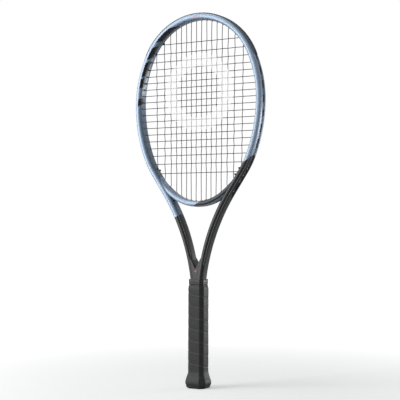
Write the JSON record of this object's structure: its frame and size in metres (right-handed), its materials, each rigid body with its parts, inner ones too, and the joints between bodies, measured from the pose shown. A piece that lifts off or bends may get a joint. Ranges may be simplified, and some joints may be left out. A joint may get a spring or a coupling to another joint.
{
  "type": "tennis racket",
  "caption": "Strung tennis racket with an oval hollow frame, open V throat, woven string bed, wrapped eight-sided grip and a butt cap with a pull-off trap door.",
  "frame": {"origin": "middle of the butt end, on the face that the racket stands on", "axes": "+Z along the handle to the tip of the head, +X across the strings, the string face looks along -Y and +Y"},
  "size_m": [0.2651, 0.0388, 0.6849],
  "materials": {
    "frame_paint": "metallic lacquer over moulded carbon",
    "bridge_paint": "metallic lacquer over moulded carbon",
    "core_foam": "rigid foam",
    "bumper_nylon": "satin moulded nylon",
    "grommet_nylon": "clear satin nylon",
    "string": "satin string",
    "pallet_foam": "moulded polyurethane foam",
    "cap_plastic": "satin moulded plastic",
    "steel_wire": "drawn wire",
    "door_plastic": "satin moulded plastic",
    "grip_wrap": "soft perforated synthetic strap",
    "tape": "vinyl tape",
    "collar_rubber": "matte rubber"
  },
  "bodies": {
    "racket": {"frame_tube": "frame_paint", "throat_bridge": "bridge_paint", "bridge_core": "core_foam", "bumper_guard": "bumper_nylon", "side_grommets_left": "grommet_nylon", "side_grommets_right": "grommet_nylon", "shoulder_grommets": "grommet_nylon", "throat_grommets": "grommet_nylon", "main_string": "string", "cross_string": "string", "pallet_front": "pallet_foam", "pallet_back": "pallet_foam", "shaft_plugs": "core_foam", "butt_cap": "cap_plastic", "butt_staples": "steel_wire", "grip_wrap": "grip_wrap", "grip_tack": "steel_wire", "finishing_tape": "tape"},
    "trap_door": {"trap_door": "door_plastic"},
    "collar": {"rubber_collar": "collar_rubber"}
  },
  "joints": [
    {"name": "trap_door_pull", "type": "slide", "parent": "racket", "child": "trap_door", "axis": [0, 0, -1], "range_m": [0, 0.014]},
    {"name": "collar_slide", "type": "slide", "parent": "racket", "child": "collar", "axis": [0, 0, 1], "range_m": [0, 0.006]}
  ]
}
